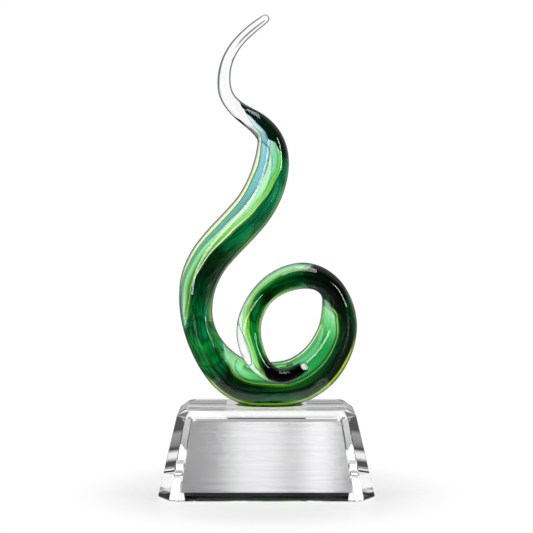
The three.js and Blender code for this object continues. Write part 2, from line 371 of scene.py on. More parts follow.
class Nodes:
    """A material's node tree with short calls to add nodes and links."""

    def __init__(self, name=None, tree=None):
        if name:
            self.material = bpy.data.materials.new(name)
            self.material.use_nodes = True
        self.tree = tree or self.material.node_tree
        self.tree.nodes.clear()
        if name:
            self.output = self.add("ShaderNodeOutputMaterial")

    def add(self, kind, **values):
        """A new node with values for its inputs, named with _ for each space, and for its own settings."""
        node = self.tree.nodes.new(kind)
        for key, value in values.items():
            entry = key.replace("_", " ")
            if entry in node.inputs:
                node.inputs[entry].default_value = value
            else:
                setattr(node, key, value)
        return node

    def link(self, source, target):
        self.tree.links.new(source, target)

    def wire(self, source, output, target, entry):
        self.link(source.outputs[output], target.inputs[entry])


def stretched_noise(n, space, stretch, **values):
    """Noise in the object's own space or on its texture coordinates."""
    coordinates = n.add("ShaderNodeTexCoord")
    mapping = n.add("ShaderNodeMapping", Scale=stretch)
    noise = n.add("ShaderNodeTexNoise", **values)
    n.wire(coordinates, space, mapping, "Vector")
    n.wire(mapping, "Vector", noise, "Vector")
    return noise


def let_lamps_through(n, shader):
    """Shadow rays pass the glass, so lamps reach what is inside it and the floor behind it."""
    path = n.add("ShaderNodeLightPath")
    clear = n.add("ShaderNodeBsdfTransparent")
    mix = n.add("ShaderNodeMixShader")
    n.wire(path, "Is Shadow Ray", mix, "Fac")
    n.wire(shader, "BSDF", mix, 1)
    n.wire(clear, "BSDF", mix, 2)
    n.link(mix.outputs["Shader"], n.output.inputs["Surface"])


# Heights between which the clear glass's painted dark outline widens towards the thin tip, and by how much
PAINTED_OUTLINE_WIDENS = (0.24, 0.27)
PAINTED_OUTLINE_WIDER = 0.3


def painted_outline_tone(n, tones):
    """Tones of a surface from where it faces the eye to where it turns away, with painted shade at its
    outline.
    """
    weight = n.add("ShaderNodeLayerWeight", Blend=0.5)
    place = n.add("ShaderNodeTexCoord")
    axes = n.add("ShaderNodeSeparateXYZ")
    start, end = PAINTED_OUTLINE_WIDENS
    thin = n.add("ShaderNodeMapRange", From_Min=start, From_Max=end, To_Min=0.0, To_Max=PAINTED_OUTLINE_WIDER)
    wider = n.add("ShaderNodeMath", operation="ADD")
    ramp = colour_ramp(n, tones)
    n.wire(place, "Object", axes, "Vector")
    n.wire(axes, "Z", thin, "Value")
    n.wire(weight, "Facing", wider, 0)
    n.wire(thin, "Result", wider, 1)
    n.wire(wider, "Value", ramp, "Fac")
    return ramp.outputs["Color"]


# The waves in clear glass are drawn out upwards
WAVE_STRETCH = (1, 1, 0.35)


def clear_glass(name, ior, wave, wave_scale, painted_outline_tones=None):
    """Colourless glass with slow waves in its surface and, where its tones are given, a dark outline of
    painted shade.
    """
    n = Nodes(name)
    glass = n.add(
        "ShaderNodeBsdfPrincipled", Base_Color=(1, 1, 1, 1), Roughness=0.0, IOR=ior, Transmission_Weight=1.0)
    # Painted shade: the outline darkens where the surface turns away from the eye
    if painted_outline_tones:
        n.link(painted_outline_tone(n, painted_outline_tones), glass.inputs["Base Color"])
    noise = stretched_noise(n, "Object", WAVE_STRETCH, Scale=wave_scale, Detail=0.0)
    bump = n.add("ShaderNodeBump", Strength=wave, Distance=0.001)
    n.wire(noise, "Fac", bump, "Height")
    n.wire(bump, "Normal", glass, "Normal")
    let_lamps_through(n, glass)
    return n.material


def colour_ramp(n, stops):
    ramp = n.add("ShaderNodeValToRGB")
    elements = ramp.color_ramp.elements
    while len(elements) < len(stops):
        elements.new(0.5)
    for element, (place, colour) in zip(elements, stops):
        element.position = place
        element.color = (*colour, 1)
    return ramp


def greys(*stops):
    return [(place, (value,) * 3) for place, value in stops]


def drink_colour(n, colour, density):
    volume = n.add("ShaderNodeVolumeAbsorption", Color=(*colour, 1), Density=density)
    n.link(volume.outputs["Volume"], n.output.inputs["Volume"])


def multiplied(n, first, second):
    """The first colour darkened by the second."""
    mix = n.add("ShaderNodeMix", data_type="RGBA", blend_type="MULTIPLY")
    mix.inputs["Factor"].default_value = 1.0
    n.link(first, mix.inputs["A"])
    n.link(second, mix.inputs["B"])
    return mix.outputs["Result"]


def blended(n, share, first, second):
    """Between two colours by a share; either is a socket or a fixed colour."""
    mix = n.add("ShaderNodeMix", data_type="RGBA")
    n.link(share, mix.inputs["Factor"])
    for key, colour in (("A", first), ("B", second)):
        if isinstance(colour, bpy.types.NodeSocket):
            n.link(colour, mix.inputs[key])
        else:
            mix.inputs[key].default_value = (*colour, 1)
    return mix.outputs["Result"]


# Places across a layer between which its dark border of painted shade fades, and its bright rim
PAINTED_BORDER_FADE = (0.06, 0.17)
RIM_FADE = (0.06, 0.1)


def on_edges(n, across, fade, middle, first, last):
    """A tone by the place across a layer: one on its first edge, one on its last, and one between them."""
    outer, inner = fade
    ramp = colour_ramp(n, greys((outer, first), (inner, middle), (1 - inner, middle), (1 - outer, last)))
    n.link(across, ramp.inputs["Fac"])
    return ramp.outputs["Color"]


def fused_glass(name, streaks, keeps, density, across, along, clear=1.0, edge=0.0, shades=None, rim=None,
                both_rims=True):
    """Coloured glass fused into the clear: it bends no light itself and is streaked lengthwise.

    Streaks are the tones of the noise, across and along its scale, shades the tones by station, and edge
    how dark the painted shade on a layer's border is. The faces where two colours meet inside the band have
    no tint of their own.
    """
    n = Nodes(name)
    glass = n.add("ShaderNodeBsdfPrincipled", Roughness=0.0, IOR=1.0, Transmission_Weight=clear)
    noise = stretched_noise(n, "UV", (across, along, 1), Scale=1.0, Detail=2.0, Distortion=0.4)
    tones = colour_ramp(n, streaks)
    coordinates = n.add("ShaderNodeTexCoord")
    axes = n.add("ShaderNodeSeparateXYZ")
    n.wire(noise, "Fac", tones, "Fac")
    n.wire(coordinates, "UV", axes, "Vector")
    # Painted shade: the layer darkens towards its borders, as refraction darkens the lines between colours
    painted_border_shade = on_edges(n, axes.outputs["X"], PAINTED_BORDER_FADE, 1.0, 1 - edge, 1 - edge)
    tint = multiplied(n, tones.outputs["Color"], painted_border_shade)
    if rim:
        tint = blended(n, on_edges(n, axes.outputs["X"], RIM_FADE, 0.0, 1.0, float(both_rims)), tint, rim)
    if shades:
        lengthwise = colour_ramp(n, [(station / LAST, colour) for station, colour in shades])
        n.wire(axes, "Y", lengthwise, "Fac")
        tint = multiplied(n, tint, lengthwise.outputs["Color"])
    inner = n.add("ShaderNodeMath", operation="GREATER_THAN")
    inner.inputs[1].default_value = 1.0
    n.wire(axes, "Y", inner, 0)
    n.link(blended(n, inner.outputs["Value"], tint, (1, 1, 1)), glass.inputs["Base Color"])
    drink_colour(n, keeps, density)
    let_lamps_through(n, glass)
    return n.material


# In the coloured glasses below, edge sets the painted shade on each layer's border
def dark_green_glass(keeps):
    dark, green = (0.0, 0.002, 0.001), (0.0, 0.3, 0.04)
    return fused_glass(
        "dark green glass",
        [(0.34, green), (0.39, dark), (0.44, (0.0, 0.45, 0.07)), (0.48, (0.0, 0.006, 0.003)),
         (0.52, (0.0, 0.5, 0.2)), (0.56, (0.0, 0.004, 0.002)), (0.6, (0.0, 0.45, 0.06)), (0.65, dark),
         (0.7, green)],
        keeps, density=25.0, across=1.6, along=9.0, edge=0.97, rim=(0.22, 0.6, 0.01),
        shades=greys(
            (6.2, 0.0008), (10.4, 0.0008), (11.5, 0.2), (12.3, 0.45), (13.0, 0.2), (13.6, 0.4), (14.0, 0.3),
            (14.6, 0.015), (15.7, 0.004), (16.6, 0.03), (17.4, 0.3), (18.7, 1.0), (19.6, 0.8), (20.3, 0.1),
            (21.1, 0.15), (22.4, 0.5), (24.0, 0.06), (26.3, 0.015), (28.1, 0.02), (29.2, 0.2), (30.4, 0.6),
            (32.7, 0.7), (33.8, 0.002)))


def milky_white_glass(keeps):
    return fused_glass(
        "milky white glass", [(0.35, [0.8 * c for c in keeps]), (0.65, keeps)],
        (0.9, 0.95, 0.9), density=20.0, across=3.0, along=40.0, clear=0.55)


def lime_glass(keeps):
    return fused_glass(
        "lime glass", [(0.35, (0.12, 0.5, 0.01)), (0.65, (0.4, 0.95, 0.06))],
        keeps, density=40.0, across=2.0, along=12.0, clear=0.85, edge=0.5,
        shades=[
            (10.0, (0.3, 0.95, 0.8)), (11.3, (0.35, 0.9, 0.7)), (12.0, (1, 1, 0.9)), (13.3, (1, 1, 0.9)),
            (15.3, (0.15, 0.3, 0.3)), (16.5, (0.02, 0.2, 0.03)), (18.0, (0.3, 0.7, 0.2)),
            (19.0, (0.8, 0.85, 0.15)), (28.0, (1, 0.9, 0.15)), (31.0, (1, 0.8, 0.06))])


def mint_glass(keeps):
    return fused_glass(
        "mint glass", [(0.35, (0.42, 0.8, 0.45)), (0.5, (0.68, 0.95, 0.66)), (0.65, (0.9, 1.0, 0.86))],
        keeps, density=30.0, across=3.0, along=7.0, clear=0.85, edge=0.9,
        rim=(0.2, 0.75, 0.02), both_rims=False,
        shades=[
            (12.0, (0.8, 0.95, 0.8)), (13.0, (0.7, 0.8, 0.6)), (15.3, (0.22, 0.62, 0.22)),
            (16.5, (0.25, 0.5, 0.25)), (17.8, (0.8, 0.85, 0.9)), (19.4, (1, 1, 1)), (20.4, (0.8, 1, 0.85)),
            (21.3, (0.3, 0.75, 0.4)), (22.0, (0.06, 0.45, 0.18)), (24.6, (0.06, 0.45, 0.16)),
            (25.3, (0.35, 0.8, 0.45)), (26.2, (0.9, 1, 0.95)), (27.5, (0.9, 1, 0.95)),
            (28.4, (0.15, 0.5, 0.25)), (29.5, (0.3, 0.7, 0.4)), (31.0, (0.2, 0.6, 0.3)),
            (31.8, (0.95, 1, 0.97))])


def blue_glass(keeps):
    return fused_glass(
        "blue glass", [(0.35, (0.55, 0.8, 0.9)), (0.65, (1.0, 1.0, 1.0))],
        keeps, density=10.0, across=2.5, along=13.0, clear=0.85, edge=0.9,
        shades=[
            (6.9, (0.85, 0.95, 0.97)), (9.0, (0.3, 0.6, 0.7)), (10.5, (0.14, 0.48, 0.55)),
            (12.0, (0.09, 0.42, 0.46)), (13.0, (0.05, 0.3, 0.33)), (15.3, (0.03, 0.28, 0.18)),
            (18.0, (0.05, 0.3, 0.22))])


def yellow_glass(keeps):
    return fused_glass(
        "yellow glass", [(0.35, (0.88, 0.82, 0.16)), (0.65, (0.97, 0.95, 0.5))],
        keeps, density=120.0, across=4.0, along=30.0, clear=0.5, edge=0.3,
        shades=[(18.4, (1, 1, 1)), (19.4, (0.75, 0.95, 0.1))])


# Brush lines of the plate: their number in a metre, how far they are drawn out, and their dark tone
BRUSH_SCALE = 1100.0
BRUSH_STRETCH = (0.02, 1, 1)
BRUSH_DARK = 0.8


def brushed_steel(name, colour):
    """Steel with fine lines from side to side, which spread its gloss up and down."""
    n = Nodes(name)
    steel = n.add("ShaderNodeBsdfPrincipled", Metallic=1.0, Anisotropic=0.95, Anisotropic_Rotation=0.25)
    lines = stretched_noise(n, "Object", BRUSH_STRETCH, Scale=BRUSH_SCALE, Detail=4.0)
    tones = colour_ramp(n, [(0.3, [BRUSH_DARK * c for c in colour]), (0.7, colour)])
    rough = n.add("ShaderNodeMapRange", To_Min=0.13, To_Max=0.19)
    bump = n.add("ShaderNodeBump", Strength=0.08, Distance=0.0001)
    for node, key in ((tones, "Fac"), (rough, "Value"), (bump, "Height")):
        n.wire(lines, "Fac", node, key)
    n.wire(tones, "Color", steel, "Base Color")
    n.wire(rough, "Result", steel, "Roughness")
    n.wire(bump, "Normal", steel, "Normal")
    sideways = n.add("ShaderNodeCombineXYZ", X=1.0)
    tangent = n.add(
        "ShaderNodeVectorTransform", vector_type="VECTOR", convert_from="OBJECT", convert_to="WORLD")
    n.wire(sideways, "Vector", tangent, "Vector")
    n.wire(tangent, "Vector", steel, "Tangent")
    n.link(steel.outputs["BSDF"], n.output.inputs["Surface"])
    return n.material


def tape_film(name):
    """Grey film with a fine matt grain."""
    n = Nodes(name)
    film = n.add("ShaderNodeBsdfPrincipled", Roughness=0.6)
    noise = stretched_noise(n, "Object", (1, 1, 1), Scale=400.0, Detail=3.0)
    tones = colour_ramp(n, [(0, (0.24, 0.25, 0.26)), (1, (0.34, 0.35, 0.36))])
    n.wire(noise, "Fac", tones, "Fac")
    n.wire(tones, "Color", film, "Base Color")
    n.link(film.outputs["BSDF"], n.output.inputs["Surface"])
    return n.material


# Settings

def colour_setting(name, description, default):
    return bpy.props.FloatVectorProperty(
        name=name, description=description, subtype="COLOR", default=default, min=0, max=1)


def length_setting(name, description, default):
    return bpy.props.FloatProperty(name=name, description=description, default=default, min=0, unit="LENGTH")


def refraction_setting(name, description, default):
    return bpy.props.FloatProperty(name=name, description=description, default=default, min=1.3, max=1.9)


class AwardSwirl(bpy.types.PropertyGroup):
    """Sizes of the glass swirl."""
    around: bpy.props.IntProperty(
        name="Points around", description="Points round the band before it is smoothed", default=16, min=8)
    per_station: bpy.props.IntProperty(
        name="Rings per station", description="Rings between two stations before smoothing", default=2, min=1)
    wall: bpy.props.FloatProperty(
        name="Clear wall", description="Clear glass over the colours, as a share of the half thickness",
        default=0.1, min=0.05, max=0.6, subtype="FACTOR")
    ior: refraction_setting("Refraction", "How strongly the clear glass bends light", 1.5)


class AwardColours(bpy.types.PropertyGroup):
    """What each coloured glass lets through."""
    dark_green: colour_setting("Dark green", "Colour that the dark green glass keeps", (0.02, 0.5, 0.28))
    lime: colour_setting("Lime", "Colour that the lime glass keeps", (0.6, 0.93, 0.04))
    mint: colour_setting("Mint", "Colour that the mint glass keeps", (0.12, 0.8, 0.47))
    blue: colour_setting("Blue", "Colour that the blue glass keeps", (0.09, 0.58, 0.83))
    yellow: colour_setting("Yellow", "Colour that the yellow glass keeps", (0.95, 0.9, 0.05))
    white: colour_setting("White", "Colour of the milky thread", (0.93, 0.95, 0.9))


class AwardBase(bpy.types.PropertyGroup):
    """Finish of the crystal base, its plate and the glue on it."""
    edge: length_setting("Edge", "Width of the polished edge between two facets", 0.0004)
    ior: refraction_setting("Refraction", "How strongly the crystal bends light", 1.53)
    glue_ior: refraction_setting("Glue refraction", "How strongly the clear glue bends light", 1.48)
    plate_corner: length_setting("Plate corner", "Radius of the plate's corners", 0.0006)
    plate_edge: length_setting("Plate edge", "Rounding of the plate's front edge", 0.00012)
    plate_colour: colour_setting("Plate", "Colour of the brushed plate", (0.7, 0.7, 0.71))


class AwardStage(bpy.types.PropertyGroup):
    """Floor, light and camera."""
    floor_colour: colour_setting("Floor", "Colour of the floor", (0.86, 0.86, 0.86))
    camera_distance: length_setting("Camera distance", "From the base's middle to the camera", 1.029)
    camera_height: length_setting("Camera height", "Camera above the floor", 0.19)
    camera_pitch: bpy.props.FloatProperty(
        name="Camera pitch", description="How far the camera looks down", default=math.radians(2.5),
        subtype="ANGLE")
    lens: bpy.props.FloatProperty(
        name="Lens", description="Focal length in millimetres on a 36 mm sensor", default=108.4)


# Pieces

class AWARD_OT_base(bpy.types.Operator):
    """Cuts the crystal base from the frame's base, with polished edges"""
    bl_idname = "award.build_base"
    bl_label = "Crystal base"

    def execute(self, context):
        settings = context.scene.award_base
        deselect()
        rings = base_outline()
        bpy.ops.mesh.primitive_circle_add(vertices=len(rings[0]), fill_type="NGON")
        block = context.object
        block.name = block.data.name = "crystal_block"
        bpy.ops.object.mode_set(mode="EDIT")
        place_ring(block, rings[0])
        for ring in rings[1:]:
            bpy.ops.mesh.extrude_region_move()
            place_ring(block, ring)
        face_outwards()
        bpy.ops.mesh.bevel(offset=settings.edge, segments=1, affect="EDGES")
        bpy.ops.object.mode_set(mode="OBJECT")
        material = clear_glass("polished crystal", settings.ior, wave=0.01, wave_scale=90.0)
        settle(block, material, "crystal", "crystal_base")
        return {"FINISHED"}


def base_outline():
    """The base's outline at its four levels, from the frame's box and the facets' proportions."""
    half_width, half_depth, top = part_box("crystal_base")[1]
    levels = [(BASE_FLOOR, 0.0), (BASE_FOOT, FLOOR_BEVEL), (BASE_SHOULDER, top - TOP_BEVEL), (BASE_TOP, top)]
    lean, run = math.sin(FACET_TURN), math.cos(FACET_TURN)
    rings = []
    for (width, depth, short, long), z in levels:
        x3 = half_width * width
        x2 = x3 - long * MM * lean
        x1 = x2 - short * MM * run
        y1 = half_depth * depth
        y2 = y1 - short * MM * lean
        y3 = y2 - long * MM * run
        right = [(x1, -y1), (x2, -y2), (x3, -y3), (x3, y3), (x2, y2), (x1, y1)]
        rings.append([Vector((x, y, z)) for x, y in right] + [Vector((-x, -y, z)) for x, y in right])
    return rings


def place_ring(piece, ring):
    """Moves the selected ring's corners, in their order round it, to the given places."""
    mesh = bmesh.from_edit_mesh(piece.data)
    face = next(f for f in mesh.faces if f.select)
    corners = list(face.verts)
    start = min(range(len(corners)), key=lambda k: corners[k].index)
    ordered = corners[start:] + corners[:start]
    for corner, place in zip(ordered, ring):
        corner.co = place
    bmesh.update_edit_mesh(piece.data)


def plate_corners():
    """Front and back place of the plate's corners, in a plane's order: left and right, low then high."""
    node = frame["nodes"]["engraving_plate"]
    points = [node.matrix_world @ v.co for v in node.data.vertices]
    corners = []
    for end in (min(p.z for p in points), max(p.z for p in points)):
        level = [p for p in points if abs(p.z - end) < SAME_PLACE]
        for side in (min(p.x for p in level), max(p.x for p in level)):
            ends = [p for p in level if abs(p.x - side) < SAME_PLACE]
            corners.append((min(ends, key=lambda p: p.y), max(ends, key=lambda p: p.y)))
    return corners


class AWARD_OT_plate(bpy.types.Operator):
    """Makes the bare brushed plate and gives the film behind it its finish"""
    bl_idname = "award.build_plate"
    bl_label = "Brushed plate"

    def execute(self, context):
        settings = context.scene.award_base
        corners = plate_corners()
        deselect()
        bpy.ops.mesh.primitive_plane_add(size=1)
        plate = context.object
        plate.name = plate.data.name = "brushed_plate"
        for vertex, (_, back) in zip(plate.data.vertices, corners):
            vertex.co = back
        bpy.ops.object.mode_set(mode="EDIT")
        face_outwards()
        bpy.ops.mesh.extrude_region_move(TRANSFORM_OT_translate={"value": corners[0][0] - corners[0][1]})
        mesh = bmesh.from_edit_mesh(plate.data)
        face = next(f for f in mesh.faces if f.select)
        for vertex in face.verts:
            vertex.co = min((front for front, _ in corners), key=lambda p: (p - vertex.co).length)
        for edge in mesh.edges:
            edge.select_set(edge.calc_length() < PLATE_THROUGH)
        bmesh.update_edit_mesh(plate.data)
        bpy.ops.mesh.bevel(offset=settings.plate_corner, segments=4, affect="EDGES")
        face_outwards()
        bpy.ops.mesh.select_all(action="DESELECT")
        mesh = bmesh.from_edit_mesh(plate.data)
        front = max((f for f in mesh.faces if f.normal.y < PLATE_FRONT), key=lambda f: f.calc_area())
        for edge in front.edges:
            edge.select_set(True)
        bmesh.update_edit_mesh(plate.data)
        bpy.ops.mesh.bevel(offset=settings.plate_edge, segments=2, affect="EDGES")
        bpy.ops.object.mode_set(mode="OBJECT")
        steel = brushed_steel("brushed steel", settings.plate_colour)
        settle(plate, steel, "brushed_plate", "engraving_plate")
        film = frame["nodes"]["plate_tape"]
        film.data.materials.clear()
        film.data.materials.append(tape_film("grey film"))
        return {"FINISHED"}


class AWARD_OT_bond(bpy.types.Operator):
    """Makes the clear glue round the swirl's foot"""
    bl_idname = "award.build_bond"
    bl_label = "Foot bond"

    def execute(self, context):
        settings = context.scene.award_base
        low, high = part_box("foot_bond")
        middle = [(a + b) / 2 for a, b in zip(low, high)]
        half_x, half_y = (high[0] - low[0]) / 2, (high[1] - low[1]) / 2
        deselect()
        bpy.ops.mesh.primitive_circle_add(vertices=BOND_POINTS, radius=1, fill_type="NGON",
                                          location=(middle[0], middle[1], low[2]))
        bond = context.object
        bond.name = bond.data.name = "clear_bond"
        bond.scale = (half_x, half_y, 1)
        bpy.ops.object.transform_apply(location=False, rotation=False, scale=True)
        bpy.ops.object.mode_set(mode="EDIT")
        bpy.ops.mesh.select_all(action="SELECT")
        for rise, size in BOND_STEPS:
            bpy.ops.mesh.extrude_region_move(TRANSFORM_OT_translate={"value": (0, 0, rise)})
            bpy.ops.transform.resize(value=(size, size, 1))
        bpy.ops.mesh.inset(thickness=BOND_LIP)
        bpy.ops.transform.translate(value=(0, 0, -BOND_SINK))
        face_outwards()
        bpy.ops.object.mode_set(mode="OBJECT")
        bpy.ops.object.shade_smooth()
        glue = clear_glass("clear glue", settings.glue_ior, wave=0.05, wave_scale=200.0)
        settle(bond, glue, "clear_bond", "foot_bond")
        return {"FINISHED"}


# Painted shade on the clear swirl: its tones from where it faces the eye to its dark outline
SWIRL_PAINTED_OUTLINE = [
    (0.55, (1, 1, 1)), (0.72, (0.015, 0.03, 0.025)), (0.9, (0.015, 0.03, 0.025)), (1.0, (0.05, 0.08, 0.07)),
]


class AWARD_OT_swirl(bpy.types.Operator):
    """Draws the clear glass swirl from its tip to its tail and grinds its foot flat"""
    bl_idname = "award.build_swirl"
    bl_label = "Clear swirl"

    def execute(self, context):
        settings = context.scene.award_swirl
        line = middle_line()
        angles = [2 * math.pi * k / settings.around for k in range(settings.around)]
        # Smoothing draws a ring in, so it starts larger by this share
        grow = 3 / (2 + math.cos(angles[1]))

        def ring(section, size, shift):
            scale = size * grow
            move = section.tangent * shift
            return [section.point(math.cos(t) * scale, math.sin(t) * scale) + move for t in angles]

        tip, tail = Section(line, 0), Section(line, LAST)
        rings = [ring(tip, size, -away * tip.a) for size, away in TIP_CAP]
        rings += [ring(Section(line, s), 1, 0) for s in stations(0, LAST, settings.per_station)]
        rings += [ring(tail, size, away * tail.a) for size, away in TAIL_CAP]
        casing = rolled_tube("clear_swirl", rings)
        smooth_by_subdivision(casing, 2)
        foot = base_top() + FOOT_GAP
        bpy.ops.object.mode_set(mode="EDIT")
        bpy.ops.mesh.select_all(action="SELECT")
        bpy.ops.mesh.bisect(plane_co=(0, 0, foot), plane_no=(0, 0, 1), use_fill=True, clear_inner=True)
        bpy.ops.object.mode_set(mode="OBJECT")
        bpy.ops.object.shade_smooth_by_angle(angle=SMOOTH_ANGLE)
        # The clear swirl gets a dark outline of painted shade
        material = clear_glass(
            "drawn clear glass", settings.ior, wave=0.015, wave_scale=40.0, painted_outline_tones=SWIRL_PAINTED_OUTLINE)
        settle(casing, material, "clear_glass", "clear_casing")
        return {"FINISHED"}


def ease(x):
    x = min(1.0, max(0.0, x))
    return x * x * (3 - 2 * x)


def table_at(table, station):
    """The values of a table at a station, eased between its rows."""
    before = [row for row in table if row[0] <= station][-1]
    after = next((row for row in table if row[0] > station), before)
    share = ease((station - before[0]) / (after[0] - before[0])) if after is not before else 0.0
    return [a + (b - a) * share for a, b in zip(before[1:], after[1:])]


def layer_limits(number, station):
    """Where a colour begins and ends across the band at a station, or with no number the outer thread."""
    if number is None:
        return OUTER_THREAD_START, table_at(LAYER_START, station)[0]
    ends = table_at(LAYER_START, station) + table_at(LAYER_ENDS, station)
    return ends[number], ends[number + 1]


def outwards(section):
    """The way to the outside of the loop in the section's own axes, neither to the front nor to the back."""
    back = (BACKWARDS - section.tangent * BACKWARDS.dot(section.tangent)).normalized()
    way = back.cross(section.tangent)
    return way.dot(section.across), way.dot(section.depth)


# Points on an arc and on a flat side of a layer's outline, and rings over which a layer comes to a point
ARC, FLAT = 10, 6
POINTED = 6
LAYER_RINGS_PER_STATION = 8

# Outline of a layer: place across the layer, and place from one side of the band to the other
LAYER_OUTLINE = (
    [(k / ARC, 1) for k in range(ARC)] + [(1, 1 - 2 * k / FLAT) for k in range(FLAT)]
    + [(1 - k / ARC, -1) for k in range(ARC)] + [(0, 2 * k / FLAT - 1) for k in range(FLAT)]
)
LAYER_FLATS = [*range(ARC, ARC + FLAT), *range(2 * ARC + FLAT, 2 * (ARC + FLAT))]


def layer_ring(line, number, station, wall):
    """A layer's outline at a station, by the layer's number, or with no number the outer thread's."""
    section = Section(line, station)
    inset = max(LEAST_WALL, wall * section.a)
    if LAST - station < 1:
        inset *= 1 + TAIL_WALL_GROWTH * (1 - (LAST - station))
    out = outwards(section)
    across = (section.a - inset) * out[0]
    depth = (section.b - inset) * out[1]
    length = math.hypot(across, depth)
    low, high = layer_limits(number, station)
    low, high = low + LAYER_GAP / length, high - LAYER_GAP / length
    high = max(high, low + LEAST_LAYER / length)
    fan, lean = table_at(LAYER_FANS, station)
    if TURNED[0] < station < TURNED[1]:
        low, high, lean = -high, -low, -lean
    thread = number is None or LAYERS[number] in THREADS

    def fanned(value, away):
        """A place across the band, drawn in and leaned by how far away from the front it is."""
        if not number and abs(value) > UNFANNED:
            return value
        return value * (1 - fan * away) - lean * away

    corners = []
    for mark, side in LAYER_OUTLINE:
        p = THREAD_MIDDLE + THREAD_HALF * side if thread else side
        away = (1 - p) / 2
        q = fanned(low, away) * (1 - mark) + fanned(high, away) * mark
        corners.append((q, p * math.sqrt(max(0, 1 - q * q))))
    u, v = across / length, depth / length
    return [section.point(q * u - p * v, q * v + p * u, inset) for q, p in corners]


def layer_stretch(name, line, number, first, last, wall):
    """One stretch of a layer, which comes to a point at its ends but stays blunt in the tail's end."""
    places = stations(first, last, LAYER_RINGS_PER_STATION)
    rings = [layer_ring(line, number, s, wall) for s in places]
    for k in range(POINTED):
        size = math.sin(0.5 * math.pi * k / POINTED)
        rings[k] = shrunk(rings[k], size)
        if last < LAST - 1:
            rings[-1 - k] = shrunk(rings[-1 - k], size)
    rings.append(shrunk(rings[-1], 0))
    marks = [mark for mark, _ in LAYER_OUTLINE]
    return rolled_tube(name, rings, marks, [s / LAST for s in [*places, last]], LAYER_FLATS)


class AWARD_OT_colours(bpy.types.Operator):
    """Lays the coloured glass inside the swirl, one body for each colour"""
    bl_idname = "award.build_colours"
    bl_label = "Coloured glass"

    def execute(self, context):
        wall, colours = context.scene.award_swirl.wall, context.scene.award_colours
        line = middle_line()
        finishes = {
            "dark_green_core": dark_green_glass(colours.dark_green),
            "white_thread": milky_white_glass(colours.white),
            "lime_ribbon": lime_glass(colours.lime),
            "mint_ribbon": mint_glass(colours.mint),
            "blue_ribbon": blue_glass(colours.blue),
            "yellow_thread": yellow_glass(colours.yellow),
        }
        for number, node in enumerate(LAYERS):
            spans = [(number, *span) for span in LAYER_SPANS[node]]
            if node == "yellow_thread":
                spans.append((None, *OUTER_THREAD))
            parts = [layer_stretch(node + "_glass", line, *span, wall) for span in spans]
            # The white thread also carries the tail's painted highlight
            if node == "white_thread":
                parts.append(painted_highlight_bead(line))
            deselect()
            for part in parts:
                part.select_set(True)
            piece = context.view_layer.objects.active = parts[0]
            if len(parts) > 1:
                bpy.ops.object.join()
            bpy.ops.object.shade_smooth_by_angle(angle=SMOOTH_ANGLE)
            settle(piece, finishes[node], frame_slot(node), node)
        return {"FINISHED"}


def shrunk(ring, size):
    """The ring made smaller about its own middle."""
    centre = sum(ring, Vector()) / len(ring)
    return [centre.lerp(point, size) for point in ring]


def painted_highlight_bead(line):
    """A round bead of milky glass, from pole to pole along the band, as a painted highlight in the tail's
    end.
    """
    tail = Section(line, LAST)
    centre = tail.centre + tail.tangent * SPOT_AHEAD - BACKWARDS * SPOT_FORWARD
    turns = [2 * math.pi * k / SPOT_POINTS for k in range(SPOT_POINTS)]
    sideways = [tail.across * math.cos(t) + tail.depth * math.sin(t) for t in turns]
    rings = []
    for k in range(SPOT_RINGS + 1):
        up = math.pi * k / SPOT_RINGS
        middle = centre - tail.tangent * (SPOT_RADIUS * math.cos(up))
        rings.append([middle + way * (SPOT_RADIUS * math.sin(up)) for way in sideways])
    return rolled_tube("painted_highlight_bead", rings)


def frame_slot(node):
    return next(s["material_slot"] for s in frame["record"]["subparts"] if s["node"] == node)


# Stage

# Dark bands that show in the glass alone: painted shade on the floor for the base's shadow and dark cards,
# and dim parts of the world. Each runs from one place to another sideways, with its tones by the place
# backwards on the floor, or by height in the world
PAINTED_FLOOR_SHADE = [
    ((0.0, 0.027), greys(
        (0.044, 1.0), (0.046, 0.05), (0.053, 0.05), (0.0535, 1.0), (0.0605, 1.0), (0.061, 0.004),
        (0.066, 0.004), (0.0665, 0.25), (0.08, 0.35), (0.0805, 0.05), (0.1, 0.08), (0.11, 0.16),
        (0.145, 0.18), (0.17, 0.6), (0.2, 1.0))),
    ((0.027, 0.052), greys(
        (0.02, 1.0), (0.022, 0.2), (0.027, 0.2), (0.0275, 1.0), (0.031, 1.0), (0.0315, 0.1), (0.036, 0.1),
        (0.0365, 1.0), (0.044, 1.0), (0.046, 0.05), (0.053, 0.05), (0.0535, 1.0), (0.062, 1.0), (0.0625, 0.2),
        (0.068, 0.2), (0.0685, 1.0), (0.09, 1.0), (0.0905, 0.12), (0.145, 0.18), (0.17, 0.6), (0.2, 1.0))),
]
WORLD_CARDS = [
    ((0.0, 0.12), greys((0.125, 1.0), (0.135, 0.003), (0.195, 0.003), (0.205, 1.0))),
    ((0.14, 0.2), greys((0.15, 1.0), (0.16, 0.003), (0.3, 0.003), (0.31, 1.0))),
    ((0.215, 0.25), greys((0.238, 1.0), (0.24, 0.003), (0.2575, 0.003), (0.258, 1.0))),
    ((0.53, 0.64), greys(
        (0.238, 1.0), (0.24, 0.003), (0.2525, 0.003), (0.253, 1.0), (0.2635, 1.0), (0.264, 0.003),
        (0.272, 0.003), (0.275, 1.0))),
]

# Floor: its side, how far it lies under the object, its roughness, and how dark it shows in gloss
FLOOR_SIDE = 3.6
FLOOR_DROP = 0.0003
FLOOR_ROUGHNESS = 0.35
FLOOR_IN_GLOSS = (0.12, 0.12, 0.12)

# Distances from the object's middle between which the floor turns white, and its share of white at the first
WHITE_FROM, WHITE_TO = 0.06, 0.13
NEAR_WHITE = 0.5

# Strength of the world in gloss in front of the object and behind it, and how far back it is at its full
DIM_FRONT, DIM_BACK = 0.02, 0.25
DIM_FULL = 0.6

